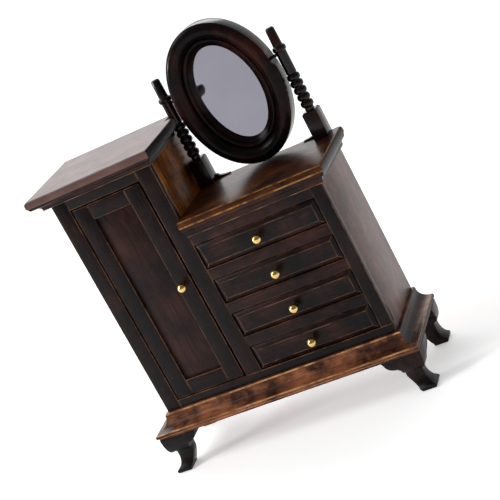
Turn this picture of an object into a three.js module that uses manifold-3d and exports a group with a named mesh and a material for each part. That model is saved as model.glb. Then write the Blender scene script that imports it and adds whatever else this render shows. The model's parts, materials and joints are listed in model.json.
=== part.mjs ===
// A 1:12 dolls' house dressing chest: a tall cupboard on the left, four drawers on the
// right, a moulded plinth on four ogee feet, and an oval swing mirror between two turned
// posts. Millimetres, +Z up, front towards -Y. The model is laid out from the carcass's
// front left bottom edge, then moved so that the origin is the centre of its footprint.

import * as THREE from 'three';
import * as BufferGeometryUtils from 'three/addons/utils/BufferGeometryUtils.js';
import Module from 'manifold-3d';

const wasm = await Module();
wasm.setup();

// ---------------------------------------------------------------- driving dimensions

// Carcass
const carcassWidth = 80;
const carcassDepth = 30;
const cupboardWidth = 35.4;
const cupboardHeight = 80.4;
const chestHeight = 56.4;
const sideThickness = 2.2;
const backThickness = 1.5;
const faceThickness = 2.4;
const boardThickness = 1.2;

// Plinth and feet
const plinthHeight = 6.2;
const plinthProjection = 5.45;
const footHeight = 12.7;
const footLength = 13;
const footDepth = 13;
const footAnkle = 2.7;
const frontShank = 2.7;
const frontToe = -0.2;
const sideShank = 0.7;
const sideToe = 1.8;
const backShank = 4.6;
const backToe = 5.7;

// Face frame
const leftStileWidth = 5;
const middleStileWidth = 5.4;
const rightStileWidth = 4;
const bottomRailHeight = 2.8;
const cupboardTopRailHeight = 6.3;
const chestTopRailHeight = 7;
const drawerRailHeight = 3.6;
const drawerCount = 4;

// Tops and cornices
const cupboardTopThickness = 2.3;
const cupboardOverhang = 5;
const cupboardOverhangRight = 3.3;
const cupboardCorniceHeight = 3;
const chestTopThickness = 2.2;
const chestOverhang = 3.4;
const chestCorniceHeight = 3.8;

// Door
const doorThickness = 2;
const doorSetback = 0.3;
const doorHingeGap = 0.35;
const doorClosingGap = 0.8;
const doorTopGap = 0.45;
const doorBottomGap = 0.25;
const doorStileWidth = 5.4;
const doorRailHeight = 5;
const doorPanelThickness = 1;
const doorPanelRecess = 0.8;
const hingePinRadius = 0.45;
const hingePinInset = 1.4;
const hingePinReach = 1.6;

// Drawers
const drawerGap = 0.3;
const drawerFrontThickness = 2.6;
const drawerFrontProud = 0.5;
const drawerBevelWidth = 1.3;
const drawerBevelDrop = 0.9;
const drawerWall = 1.2;
const drawerFloor = 0.8;
const drawerBackGap = 1.5;
const drawerSideDrop = 1.2;

// Knobs
const knobRadius = 1.55;
const knobNeckRadius = 0.75;
const knobNeckLength = 1.4;
const knobShankRadius = 0.5;
const knobShankLength = 1.2;

// Mirror posts
const postBlockWidth = 4.8;
const postBlockDepth = 5.4;
const postBlockHeight = 9;
const postBlockChamfer = 0.5;
const postBackSetback = 0.3;
const postRightInset = 2.05;
const postBeadCount = 5;
const postBeadPitch = 2.25;
const postBeadRadius = 2.05;
const postNeckHeight = 0.9;
const postShaftRadius = 1.65;
const postShaftAbovePivot = 0.6;
const postCollarRadius = 2.15;
const postCollarHeight = 1.7;
const postFinialRadius = 1.4;
const postFinialHeight = 6.1;
const bracketLength = 4.6;
const bracketHeight = 1.5;
const bracketThickness = 1.4;

// Oval mirror
const sightHalfHeight = 15.5;
const mirrorFrameWidth = 7.7;
const mirrorFrameThickness = 7;
const mirrorFrameBehindPivot = 2.4;
const rimRounding = 2.3;
const rimDome = 1.3;
const glassRecess = 4.2;
const mirrorGroundGap = 0.3;
const mirrorPivotAboveCentre = 4.3;
const ovalTurn = 5;
const mirrorPostGap = 1.2;
const pivotSeatDepth = 0.45;
const pivotSeatLean = 5;
const pivotSeatLength = 7;
const pivotPinRadius = 0.5;
const pivotPinInFrame = 1.8;
const pivotPinInPost = 1.1;
const glassThickness = 1;
const glassLap = 0.9;
const backboardThickness = 0.8;
const backboardLap = 3.8;

// Fits
const runningClearance = 0.08;
const tightClearance = 0.03;
const turnedGap = 0.3;
const postFit = 0.05;

// Fineness of round work
const turningSegments = 20;
const pinSegments = 16;
const ovalSegments = 56;
const arcSteps = 4;

// ---------------------------------------------------------------- finishes

const darkWalnut = new THREE.MeshStandardMaterial({ color: 0x33282a, roughness: 0.38, metalness: 0 });
const wornWalnut = new THREE.MeshStandardMaterial({ color: 0x4e3630, roughness: 0.4, metalness: 0 });
const rawPine = new THREE.MeshStandardMaterial({ color: 0xb99a6e, roughness: 0.7, metalness: 0 });
const polishedBrass = new THREE.MeshStandardMaterial({ color: 0xd8b45a, roughness: 0.18, metalness: 1 });
const blackenedSteel = new THREE.MeshStandardMaterial({ color: 0x2c2b2a, roughness: 0.35, metalness: 1 });
const mirrorGlass = new THREE.MeshStandardMaterial({ color: 0xb9bac2, roughness: 0.05, metalness: 1 });

// ---------------------------------------------------------------- shape helpers

// Points of an elliptical arc in a plane, from one angle to another, in degrees.
function arc(centreA, centreB, radiusA, radiusB, fromDegrees, toDegrees, steps = arcSteps) {
  const points = [];
  for (let i = 0; i <= steps; i += 1) {
    const angle = THREE.MathUtils.degToRad(fromDegrees + ((toDegrees - fromDegrees) * i) / steps);
    points.push([centreA + radiusA * Math.cos(angle), centreB + radiusB * Math.sin(angle)]);
  }
  return points;
}

// A closed skin over stacked rings of points, each ring with the same number of points.
// Rings run anticlockwise seen from the last ring's side; the first and last are capped.
function loft(rings) {
  const count = rings[0].length;
  const positions = rings.flat(2);
  const indices = [];
  for (let r = 0; r + 1 < rings.length; r += 1) {
    for (let i = 0; i < count; i += 1) {
      const a = r * count + i;
      const b = r * count + ((i + 1) % count);
      indices.push(a, b, b + count);
      indices.push(a, b + count, a + count);
    }
  }
  const lastRing = (rings.length - 1) * count;
  for (let i = 1; i + 1 < count; i += 1) {
    indices.push(0, i + 1, i);
    indices.push(lastRing, lastRing + i, lastRing + i + 1);
  }
  const geometry = new THREE.BufferGeometry();
  geometry.setAttribute('position', new THREE.Float32BufferAttribute(positions, 3));
  geometry.setIndex(indices);
  geometry.computeVertexNormals();
  return geometry;
}

// A board from its lowest corner to its highest.
function block(low, high) {
  const geometry = new THREE.BoxGeometry(high[0] - low[0], high[1] - low[1], high[2] - low[2]);
  geometry.translate((low[0] + high[0]) / 2, (low[1] + high[1]) / 2, (low[2] + high[2]) / 2);
  return geometry;
}

// A lying rectangle at height z.
function rectangle(x0, x1, y0, y1, z) {
  return [[x0, y0, z], [x1, y0, z], [x1, y1, z], [x0, y1, z]];
}

// A standing rectangle at depth y, for shapes lofted from back to front.
function standingRectangle(x0, x1, z0, z1, y) {
  return [[x0, y, z0], [x1, y, z0], [x1, y, z1], [x0, y, z1]];
}

function toSolid(geometry) {
  const bare = geometry.clone();
  bare.deleteAttribute('normal');
  bare.deleteAttribute('uv');
  const merged = BufferGeometryUtils.mergeVertices(bare, 1e-5);
  const mesh = new wasm.Mesh({
    numProp: 3,
    vertProperties: new Float32Array(merged.attributes.position.array),
    triVerts: new Uint32Array(merged.index.array),
  });
  return new wasm.Manifold(mesh);
}

function toGeometry(solid) {
  const mesh = solid.getMesh();
  const geometry = new THREE.BufferGeometry();
  geometry.setAttribute('position', new THREE.BufferAttribute(new Float32Array(mesh.vertProperties), 3));
  geometry.setIndex(Array.from(mesh.triVerts));
  geometry.computeVertexNormals();
  return geometry;
}

function cut(geometry, ...tools) {
  let solid = toSolid(geometry);
  for (const tool of tools) {
    solid = solid.subtract(toSolid(tool));
  }
  return toGeometry(solid);
}

// A round pin or bore between two points on a line parallel to an axis.
function pin(radius, from, to) {
  const start = new THREE.Vector3(...from);
  const end = new THREE.Vector3(...to);
  const geometry = new THREE.CylinderGeometry(radius, radius, start.distanceTo(end), pinSegments);
  const direction = end.clone().sub(start).normalize();
  const turn = new THREE.Quaternion().setFromUnitVectors(new THREE.Vector3(0, 1, 0), direction);
  geometry.applyQuaternion(turn);
  const middle = start.add(end).multiplyScalar(0.5);
  geometry.translate(middle.x, middle.y, middle.z);
  return geometry;
}

// A turned shape standing on +Z; the outline runs up from the axis and back to it.
function turned(outline, segments = turningSegments) {
  const profile = outline.map(([radius, height]) => new THREE.Vector2(radius, height));
  const geometry = new THREE.LatheGeometry(profile, segments);
  geometry.rotateX(Math.PI / 2);
  return geometry;
}

const model = new THREE.Group();

function add(name, geometry, material, parent = model) {
  const mesh = new THREE.Mesh(geometry, material);
  mesh.name = name;
  parent.add(mesh);
  return mesh;
}

// ---------------------------------------------------------------- levels and places

const plinthBottom = footHeight;
const base = plinthBottom + plinthHeight;
const innerBack = carcassDepth - backThickness;
const cupboardTopUnderside = base + cupboardHeight - cupboardTopThickness;
const chestTopUnderside = base + chestHeight - chestTopThickness;
const doorOpeningLeft = leftStileWidth;
const doorOpeningRight = cupboardWidth - middleStileWidth;
const doorOpeningBottom = base + bottomRailHeight;
const doorOpeningTop = cupboardTopUnderside - cupboardTopRailHeight;
const drawerOpeningLeft = cupboardWidth;
const drawerOpeningRight = carcassWidth - rightStileWidth;
const drawerStackTop = chestTopUnderside - chestTopRailHeight;
const drawerPitch = (drawerStackTop + drawerRailHeight - doorOpeningBottom) / drawerCount;
const drawerOpeningHeight = drawerPitch - drawerRailHeight;

// ---------------------------------------------------------------- plinth

// Edge outline of the plinth board, as [projection, height above its underside]:
// a thin fillet, an upright lower edge, a long hollow slope and a small rounded lip.
function plinthOutline() {
  const slopeBottom = plinthHeight * 0.32;
  const lip = 1.1;
  const hollow = arc(
    plinthProjection - 0.4,
    plinthHeight - 0.9,
    -(plinthProjection - 0.4 - lip),
    -(plinthHeight - 0.9 - slopeBottom),
    90,
    0,
    5,
  );
  return [
    [plinthProjection - 0.55, 0],
    [plinthProjection - 0.55, 0.7],
    [plinthProjection, 0.8],
    [plinthProjection, slopeBottom - 0.25],
    ...hollow,
    [lip, plinthHeight - 0.35],
    [lip - 0.3, plinthHeight],
  ];
}

// A board with a moulded edge on its left, front and right, flat at the back.
// Shares say how much of the projection each side gets.
function mouldedBoard(outline, box, shares) {
  return loft(outline.map(([projection, height]) => rectangle(
    box.left - projection * shares.left,
    box.right + projection * shares.right,
    box.front - projection * shares.front,
    box.back,
    box.bottom + height,
  )));
}

add('plinth_board', mouldedBoard(
  plinthOutline(),
  { left: 0, right: carcassWidth, front: 0, back: carcassDepth, bottom: plinthBottom },
  { left: 1, right: 1, front: 1 },
), wornWalnut);

// ---------------------------------------------------------------- ogee bracket feet

// How far the foot's outer face stands out from the carcass corner, from the floor up:
// a blunt toe that flares out, a narrow ankle, then the swelling bracket under the plinth.
function footOuterEdge() {
  const toe = plinthProjection - 0.5;
  const bracketReach = plinthProjection - 0.45;
  const ankleHeight = footHeight * 0.42;
  const kneeHeight = footHeight * 0.57;
  const kneeReach = footAnkle + 1;
  return [
    [toe - 0.35, 0],
    [toe, 0.5],
    [toe, 1],
    ...arc(toe + 0.1, ankleHeight, footAnkle - toe - 0.1, 1.1 - ankleHeight, 62, 0, 4),
    [footAnkle, kneeHeight - 0.7],
    [footAnkle + 0.3, kneeHeight - 0.2],
    ...arc(kneeReach, footHeight, bracketReach - kneeReach, kneeHeight - footHeight, 90, 0, 4),
  ];
}

// The foot's scrolled inner edge, from the top down to the inside of the toe. Shank and
// toe say how far inside the carcass corner the leg and the toe end.
function footInnerEdge(length, shank, toe) {
  const crest = footHeight - 0.9;
  const scrollStart = length - plinthProjection - 0.5;
  const between = (share) => shank + (toe - shank) * share;
  return [
    [length - plinthProjection, footHeight],
    [length - plinthProjection - 0.4, crest],
    ...arc(shank + 0.4, crest, scrollStart - shank - 0.4, 2.7, 0, -80, 4),
    [shank + 0.35, footHeight * 0.67],
    [shank + 0.05, footHeight * 0.57],
    [shank, footHeight * 0.43],
    [between(0.33), footHeight * 0.28],
    [between(0.62), footHeight * 0.16],
    [toe, 0.5],
    [toe, 0],
  ];
}

// A standing outline pushed out along its normal to make a solid as deep as given.
function extrudeOutline(points, depth) {
  const shape = new THREE.Shape(points.map(([across, height]) => new THREE.Vector2(across, height)));
  return new THREE.ExtrudeGeometry(shape, { depth, bevelEnabled: false });
}

// The front left foot, with its corner at the carcass corner. The back feet have no
// flare behind, so that the piece stands flat against a wall.
function footGeometry(flaredBehind) {
  const frontOutline = [
    ...footOuterEdge().map(([projection, height]) => [-projection, height]),
    ...footInnerEdge(footLength, frontShank, frontToe),
  ];
  const faceCut = extrudeOutline(frontOutline, footDepth + plinthProjection);
  faceCut.rotateX(Math.PI / 2);
  faceCut.translate(0, footDepth, 0);
  const outerEdge = flaredBehind
    ? footOuterEdge().map(([projection, height]) => [-projection, height])
    : [[0, 0], [0, footHeight]];
  const inner = flaredBehind
    ? footInnerEdge(footDepth, sideShank, sideToe)
    : footInnerEdge(footDepth, backShank, backToe);
  const sideCut = extrudeOutline([...outerEdge, ...inner], footLength + plinthProjection);
  sideCut.rotateX(Math.PI / 2);
  sideCut.rotateZ(Math.PI / 2);
  sideCut.translate(-plinthProjection - 1, 0, 0);
  return toGeometry(toSolid(faceCut).intersect(toSolid(sideCut)));
}

// Turning a mesh over a plane also turns its faces, so their order is swapped back.
function mirrored(geometry, axis) {
  const copy = geometry.clone();
  const scale = { x: [-1, 1, 1], y: [1, -1, 1] }[axis];
  copy.scale(...scale);
  const index = Array.from(copy.index.array);
  for (let i = 0; i < index.length; i += 3) {
    [index[i + 1], index[i + 2]] = [index[i + 2], index[i + 1]];
  }
  copy.setIndex(index);
  copy.computeVertexNormals();
  return copy;
}

const frontFoot = footGeometry(true);
const backFoot = mirrored(footGeometry(false), 'y');
backFoot.translate(0, carcassDepth, 0);
for (const [place, geometry] of [['front', frontFoot], ['back', backFoot]]) {
  add(`foot_${place}_left`, geometry, darkWalnut);
  const right = mirrored(geometry, 'x');
  right.translate(carcassWidth, 0, 0);
  add(`foot_${place}_right`, right, darkWalnut);
}

// ---------------------------------------------------------------- carcass boards

const carcassFloorBottom = doorOpeningBottom - boardThickness;
add('bottom_board', block(
  [sideThickness, faceThickness, carcassFloorBottom],
  [carcassWidth - sideThickness, innerBack, doorOpeningBottom],
), rawPine);
add('cupboard_left_side', block(
  [0, faceThickness, base],
  [sideThickness, carcassDepth, cupboardTopUnderside],
), darkWalnut);
add('cupboard_right_side', block(
  [cupboardWidth - sideThickness, faceThickness, doorOpeningBottom],
  [cupboardWidth, carcassDepth, cupboardTopUnderside],
), wornWalnut);
add('chest_right_side', block(
  [carcassWidth - sideThickness, faceThickness, base],
  [carcassWidth, carcassDepth, chestTopUnderside],
), wornWalnut);
add('cupboard_back', block(
  [sideThickness, innerBack, doorOpeningBottom],
  [cupboardWidth - sideThickness, carcassDepth, cupboardTopUnderside],
), rawPine);
add('chest_back', block(
  [cupboardWidth, innerBack, doorOpeningBottom],
  [carcassWidth - sideThickness, carcassDepth, chestTopUnderside],
), rawPine);
add('drawer_guide', block(
  [drawerOpeningRight, faceThickness, doorOpeningBottom],
  [carcassWidth - sideThickness, innerBack, drawerStackTop],
), rawPine);

// ---------------------------------------------------------------- face frame

const hingeX = doorOpeningLeft + doorHingeGap + hingePinInset;
const hingeY = doorSetback + doorThickness / 2;
const doorBottom = doorOpeningBottom + doorBottomGap;
const doorTop = doorOpeningTop - doorTopGap;

function hingeBore(radius, fromZ, toZ) {
  return pin(radius, [hingeX, hingeY, fromZ], [hingeX, hingeY, toZ]);
}

add('left_stile', block([0, 0, base], [leftStileWidth, faceThickness, cupboardTopUnderside]), darkWalnut);
add('middle_stile', block(
  [doorOpeningRight, 0, doorOpeningBottom],
  [cupboardWidth, faceThickness, cupboardTopUnderside],
), darkWalnut);
add('right_stile', block(
  [drawerOpeningRight, 0, doorOpeningBottom],
  [carcassWidth, faceThickness, chestTopUnderside],
), darkWalnut);
add('bottom_rail', cut(
  block([leftStileWidth, 0, base], [carcassWidth, faceThickness, doorOpeningBottom]),
  hingeBore(hingePinRadius + tightClearance, doorOpeningBottom - hingePinReach, doorOpeningBottom + 1),
), darkWalnut);
add('cupboard_top_rail', cut(
  block([leftStileWidth, 0, doorOpeningTop], [doorOpeningRight, faceThickness, cupboardTopUnderside]),
  hingeBore(hingePinRadius + tightClearance, doorOpeningTop - 1, doorOpeningTop + hingePinReach),
), darkWalnut);
add('chest_top_rail', block(
  [drawerOpeningLeft, 0, drawerStackTop],
  [drawerOpeningRight, faceThickness, chestTopUnderside],
), darkWalnut);
for (let i = 1; i < drawerCount; i += 1) {
  const railTop = doorOpeningBottom + i * drawerPitch;
  add(`drawer_rail_${drawerCount - i}`, block(
    [drawerOpeningLeft, 0, railTop - drawerRailHeight],
    [drawerOpeningRight, faceThickness, railTop],
  ), darkWalnut);
  add(`dust_board_${drawerCount - i}`, block(
    [drawerOpeningLeft, faceThickness, railTop - boardThickness],
    [drawerOpeningRight, innerBack, railTop],
  ), rawPine);
}

// ---------------------------------------------------------------- tops and cornices

// Board edge, from its underside up: nearly upright with a softened top.
function topEdge(overhang, thickness) {
  const rounding = thickness * 0.45;
  return [
    [overhang - 0.25, 0],
    [overhang, thickness * 0.25],
    ...arc(overhang - rounding, thickness - rounding, rounding, rounding, 0, 90, 3),
  ];
}

// Cornice under the board, from its foot up: a small fillet, a cove and an ovolo.
function corniceOutline(overhang, height) {
  const fillet = overhang * 0.36;
  const shoulder = overhang * 0.74;
  const coveTop = height * 0.66;
  return [
    [overhang * 0.1, 0],
    [fillet, height * 0.1],
    [fillet, height * 0.22],
    ...arc(shoulder, height * 0.22, fillet - shoulder, coveTop - height * 0.22, 0, 75, 3).slice(1),
    [shoulder, coveTop],
    ...arc(shoulder, height, overhang - 0.35 - shoulder, coveTop - height, 70, 0, 3),
  ];
}

// One side of a mitred cornice. Corners gives its four plan corners for a projection.
function corniceStrip(outline, bottom, corners) {
  return loft(outline.map(([projection, height]) => (
    corners(projection).map(([x, y]) => [x, y, bottom + height])
  )));
}

const cupboardRightShare = cupboardOverhangRight / cupboardOverhang;
const postNotchFront = carcassDepth - postBackSetback - postBlockDepth - postFit;
// The right overhang stops short of the back, to let the left mirror post stand clear.
add('cupboard_top', loft(topEdge(cupboardOverhang, cupboardTopThickness).map(([d, height]) => [
  [-d, -d, cupboardTopUnderside + height],
  [cupboardWidth + d * cupboardRightShare, -d, cupboardTopUnderside + height],
  [cupboardWidth + d * cupboardRightShare, postNotchFront, cupboardTopUnderside + height],
  [cupboardWidth, postNotchFront, cupboardTopUnderside + height],
  [cupboardWidth, carcassDepth, cupboardTopUnderside + height],
  [-d, carcassDepth, cupboardTopUnderside + height],
])), wornWalnut);

const cupboardCornice = corniceOutline(cupboardOverhang, cupboardCorniceHeight);
const cupboardCorniceBottom = cupboardTopUnderside - cupboardCorniceHeight;
add('cupboard_cornice_front', corniceStrip(cupboardCornice, cupboardCorniceBottom, (d) => [
  [-d, -d],
  [cupboardWidth + d * cupboardRightShare, -d],
  [cupboardWidth, 0],
  [0, 0],
]), darkWalnut);
add('cupboard_cornice_left', corniceStrip(cupboardCornice, cupboardCorniceBottom, (d) => [
  [-d, -d],
  [0, 0],
  [0, carcassDepth],
  [-d, carcassDepth],
]), darkWalnut);
add('cupboard_cornice_right', corniceStrip(cupboardCornice, cupboardCorniceBottom, (d) => [
  [cupboardWidth, 0],
  [cupboardWidth + d * cupboardRightShare, -d],
  [cupboardWidth + d * cupboardRightShare, postNotchFront],
  [cupboardWidth, postNotchFront],
]), darkWalnut);

add('chest_top', mouldedBoard(
  topEdge(chestOverhang, chestTopThickness),
  { left: cupboardWidth, right: carcassWidth, front: 0, back: carcassDepth, bottom: chestTopUnderside },
  { left: 0, right: 1, front: 1 },
), wornWalnut);

const chestCornice = corniceOutline(chestOverhang, chestCorniceHeight);
const chestCorniceBottom = chestTopUnderside - chestCorniceHeight;
add('chest_cornice_front', corniceStrip(chestCornice, chestCorniceBottom, (d) => [
  [cupboardWidth, -d],
  [carcassWidth + d, -d],
  [carcassWidth, 0],
  [cupboardWidth, 0],
]), darkWalnut);
add('chest_cornice_right', corniceStrip(chestCornice, chestCorniceBottom, (d) => [
  [carcassWidth, 0],
  [carcassWidth + d, -d],
  [carcassWidth + d, carcassDepth],
  [carcassWidth, carcassDepth],
]), darkWalnut);

// ---------------------------------------------------------------- knobs

// A ball on a short waisted neck with a shank behind, pointing towards -Y from a face.
function knobGeometry(x, faceY, z) {
  const ballCentre = knobNeckLength + knobRadius * 0.85;
  const ballStart = Math.asin(knobNeckRadius / knobRadius);
  const ball = arc(
    0,
    ballCentre,
    knobRadius,
    knobRadius,
    THREE.MathUtils.radToDeg(ballStart) - 90,
    90,
    8,
  );
  ball[ball.length - 1][0] = 0;
  const geometry = turned([
    [0, -knobShankLength],
    [knobShankRadius, -knobShankLength],
    [knobShankRadius, tightClearance],
    [knobNeckRadius + 0.3, tightClearance],
    [knobNeckRadius + 0.3, tightClearance + 0.3],
    [knobNeckRadius, tightClearance + 0.5],
    ...ball,
  ], pinSegments);
  geometry.rotateX(Math.PI / 2);
  geometry.translate(x, faceY, z);
  return geometry;
}

// The hole that a knob's shank sits in.
function knobHole(x, faceY, z) {
  const radius = knobShankRadius + tightClearance;
  return pin(radius, [x, faceY - 1, z], [x, faceY + knobShankLength + tightClearance, z]);
}

// ---------------------------------------------------------------- door

const doorLeft = doorOpeningLeft + doorHingeGap;
const doorRight = doorOpeningRight - doorClosingGap;
const doorFace = doorSetback;
const doorInside = doorSetback + doorThickness;
const doorPanelLeft = doorLeft + doorStileWidth;
const doorPanelRight = doorRight - doorStileWidth;
const doorPanelBottom = doorBottom + doorRailHeight;
const doorPanelTop = doorTop - doorRailHeight;
const doorKnobX = (doorPanelRight + doorRight) / 2;
const doorKnobZ = (doorBottom + doorTop) / 2;
const runningBore = hingePinRadius + runningClearance;

add('door_stile_left', cut(
  block([doorLeft, doorFace, doorBottom], [doorPanelLeft, doorInside, doorTop]),
  hingeBore(runningBore, doorBottom - 1, doorBottom + hingePinReach + turnedGap),
  hingeBore(runningBore, doorTop - hingePinReach - turnedGap, doorTop + 1),
), darkWalnut);
add('door_stile_right', cut(
  block([doorPanelRight, doorFace, doorBottom], [doorRight, doorInside, doorTop]),
  knobHole(doorKnobX, doorFace, doorKnobZ),
), darkWalnut);
add('door_rail_top', block(
  [doorPanelLeft, doorFace, doorPanelTop],
  [doorPanelRight, doorInside, doorTop],
), darkWalnut);
add('door_rail_bottom', block(
  [doorPanelLeft, doorFace, doorBottom],
  [doorPanelRight, doorInside, doorPanelBottom],
), darkWalnut);
add('door_panel', block(
  [doorPanelLeft, doorFace + doorPanelRecess, doorPanelBottom],
  [doorPanelRight, doorFace + doorPanelRecess + doorPanelThickness, doorPanelTop],
), wornWalnut);
add('door_knob', knobGeometry(doorKnobX, doorFace, doorKnobZ), polishedBrass);
add('hinge_pin_lower', pin(
  hingePinRadius,
  [hingeX, hingeY, doorOpeningBottom - hingePinReach + tightClearance],
  [hingeX, hingeY, doorBottom + hingePinReach],
), blackenedSteel);
add('hinge_pin_upper', pin(
  hingePinRadius,
  [hingeX, hingeY, doorTop - hingePinReach],
  [hingeX, hingeY, doorOpeningTop + hingePinReach - tightClearance],
), blackenedSteel);

// ---------------------------------------------------------------- drawers

const drawerLeft = drawerOpeningLeft + drawerGap;
const drawerRight = drawerOpeningRight - drawerGap;
const drawerKnobX = (drawerLeft + drawerRight) / 2;
const drawerFrontBack = drawerFrontThickness - drawerFrontProud;

// A tray: four walls and a floor, open at the top.
function tray(x0, x1, y0, y1, z0, z1) {
  const wall = drawerWall;
  return loft([
    rectangle(x0, x1, y0, y1, z0),
    rectangle(x0, x1, y0, y1, z1),
    rectangle(x0 + wall, x1 - wall, y0 + wall, y1 - wall, z1),
    rectangle(x0 + wall, x1 - wall, y0 + wall, y1 - wall, z0 + drawerFloor),
  ]);
}

for (let i = 1; i <= drawerCount; i += 1) {
  const openingBottom = doorOpeningBottom + (drawerCount - i) * drawerPitch;
  const bottom = openingBottom + drawerGap;
  const top = openingBottom + drawerOpeningHeight - drawerGap;
  const bevel = drawerBevelWidth;
  const knobZ = (bottom + top) / 2;
  const front = loft([
    standingRectangle(drawerLeft, drawerRight, bottom, top, drawerFrontBack),
    standingRectangle(drawerLeft, drawerRight, bottom, top, drawerBevelDrop - drawerFrontProud),
    standingRectangle(
      drawerLeft + bevel,
      drawerRight - bevel,
      bottom + bevel,
      top - bevel,
      -drawerFrontProud,
    ),
  ]);
  add(`drawer_${i}_front`, cut(front, knobHole(drawerKnobX, -drawerFrontProud, knobZ)), darkWalnut);
  add(`drawer_${i}_box`, tray(
    drawerLeft,
    drawerRight,
    drawerFrontBack,
    innerBack - drawerBackGap,
    bottom,
    top - drawerSideDrop,
  ), rawPine);
  add(`drawer_${i}_knob`, knobGeometry(drawerKnobX, -drawerFrontProud, knobZ), polishedBrass);
}

// ---------------------------------------------------------------- mirror posts

const chestTop = base + chestHeight;
const leftPostX = cupboardWidth + postFit + postBlockWidth / 2;
const rightPostX = carcassWidth - postRightInset;
const postSpacing = rightPostX - leftPostX;
const mirrorCentreX = (leftPostX + rightPostX) / 2;
const mirrorHalfWidth = postSpacing / 2 - postShaftRadius - mirrorPostGap;
const mirrorHalfHeight = sightHalfHeight + mirrorFrameWidth;
const sightHalfWidth = mirrorHalfWidth - mirrorFrameWidth;
const postY = carcassDepth - postBackSetback - postBlockDepth / 2;
const frameBack = mirrorFrameBehindPivot;
const frameFront = mirrorFrameBehindPivot - mirrorFrameThickness;
// The longest reach of the frame's foot from the pivot line, which has to clear the top.
const mirrorReach = Math.max(...frameSection().map(([distance, depth]) => (
  Math.hypot(sightHalfHeight + distance + mirrorPivotAboveCentre, depth)
)));
const pivotZ = chestTop + mirrorGroundGap + mirrorReach;
const postBlockTop = chestTop + postBlockHeight;
const postShaftTop = pivotZ + postShaftAbovePivot - postBlockTop;

// A turned post, from the top of its square block to the chamfered top of its finial.
function turnedPostOutline() {
  const neck = postBeadRadius * 0.7;
  const beadRoll = 0.75;
  const outline = [[0, -1], [neck, -1], [neck, postNeckHeight]];
  let height = postNeckHeight;
  for (let i = 0; i < postBeadCount; i += 1) {
    const half = postBeadPitch / 2;
    outline.push(...arc(postBeadRadius - beadRoll, height + half, beadRoll, half * 0.94, -90, 90, 4));
    height += postBeadPitch;
  }
  outline.push([postShaftRadius, height + 0.2]);
  height = postShaftTop;
  outline.push([postShaftRadius, height]);
  const collarHalf = postCollarHeight / 2;
  const collarRoll = postCollarRadius - postShaftRadius;
  outline.push(...arc(postShaftRadius, height + collarHalf, collarRoll, collarHalf, -70, 70, 4));
  height += postCollarHeight;
  outline.push([postFinialRadius + 0.12, height + 0.15]);
  height += postFinialHeight;
  outline.push([postFinialRadius, height - 0.5]);
  outline.push([postFinialRadius - 0.45, height]);
  outline.push([0, height]);
  return outline;
}

function postGeometry(x, towardsMirror) {
  const blockSection = (inset, z) => rectangle(
    x - postBlockWidth / 2 + inset,
    x + postBlockWidth / 2 - inset,
    postY - postBlockDepth / 2 + inset,
    postY + postBlockDepth / 2 - inset,
    z,
  );
  const squareBlock = loft([
    blockSection(0, chestTop),
    blockSection(0, postBlockTop - postBlockChamfer),
    blockSection(postBlockChamfer, postBlockTop),
  ]);
  const spindle = turned(turnedPostOutline());
  spindle.translate(x, postY, postBlockTop);
  const innerFace = x + towardsMirror * postShaftRadius;
  const bore = pin(
    pivotPinRadius + runningClearance,
    [innerFace + towardsMirror, postY, pivotZ],
    [innerFace - towardsMirror * (pivotPinInPost + turnedGap), postY, pivotZ],
  );
  return toGeometry(toSolid(squareBlock).add(toSolid(spindle)).subtract(toSolid(bore)));
}

// The small hollow-fronted bracket in the angle between a post and the chest top.
function bracketGeometry(startX, towardsMirror) {
  const top = arc(bracketLength, bracketHeight, -(bracketLength - 0.5), -(bracketHeight - 0.4), 0, 90, 5);
  const outline = [[0, 0], [0, bracketHeight], ...top, [bracketLength, 0]];
  const geometry = extrudeOutline(outline, bracketThickness);
  geometry.rotateX(Math.PI / 2);
  geometry.translate(0, bracketThickness, 0);
  const placed = towardsMirror > 0 ? geometry : mirrored(BufferGeometryUtils.mergeVertices(geometry), 'x');
  placed.translate(startX, carcassDepth - postBackSetback - bracketThickness, chestTop);
  return placed;
}

for (const [side, x, direction] of [['left', leftPostX, 1], ['right', rightPostX, -1]]) {
  add(`mirror_post_${side}`, postGeometry(x, direction), darkWalnut);
  add(`post_bracket_${side}`, bracketGeometry(x + (direction * postBlockWidth) / 2, direction), darkWalnut);
}

// ---------------------------------------------------------------- oval mirror

// It hangs plumb from its pivot line. The pins were let in a little askew, so the oval
// is turned in its own plane, with its top towards the cupboard.
const mirror = new THREE.Group();
mirror.position.set(mirrorCentreX, postY, pivotZ);
model.add(mirror);
const turn = THREE.MathUtils.degToRad(ovalTurn);

// Outline round the oval at a set distance outside the sight edge, at a set depth.
function ovalRing(distance, y) {
  const points = [];
  for (let i = 0; i < ovalSegments; i += 1) {
    const angle = (i / ovalSegments) * 2 * Math.PI;
    const normal = new THREE.Vector2(Math.cos(angle) / sightHalfWidth, Math.sin(angle) / sightHalfHeight);
    normal.normalize();
    const x = sightHalfWidth * Math.cos(angle) + normal.x * distance;
    const z = sightHalfHeight * Math.sin(angle) + normal.y * distance - mirrorPivotAboveCentre;
    points.push([x * Math.cos(turn) - z * Math.sin(turn), y, x * Math.sin(turn) + z * Math.cos(turn)]);
  }
  return points;
}

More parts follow.
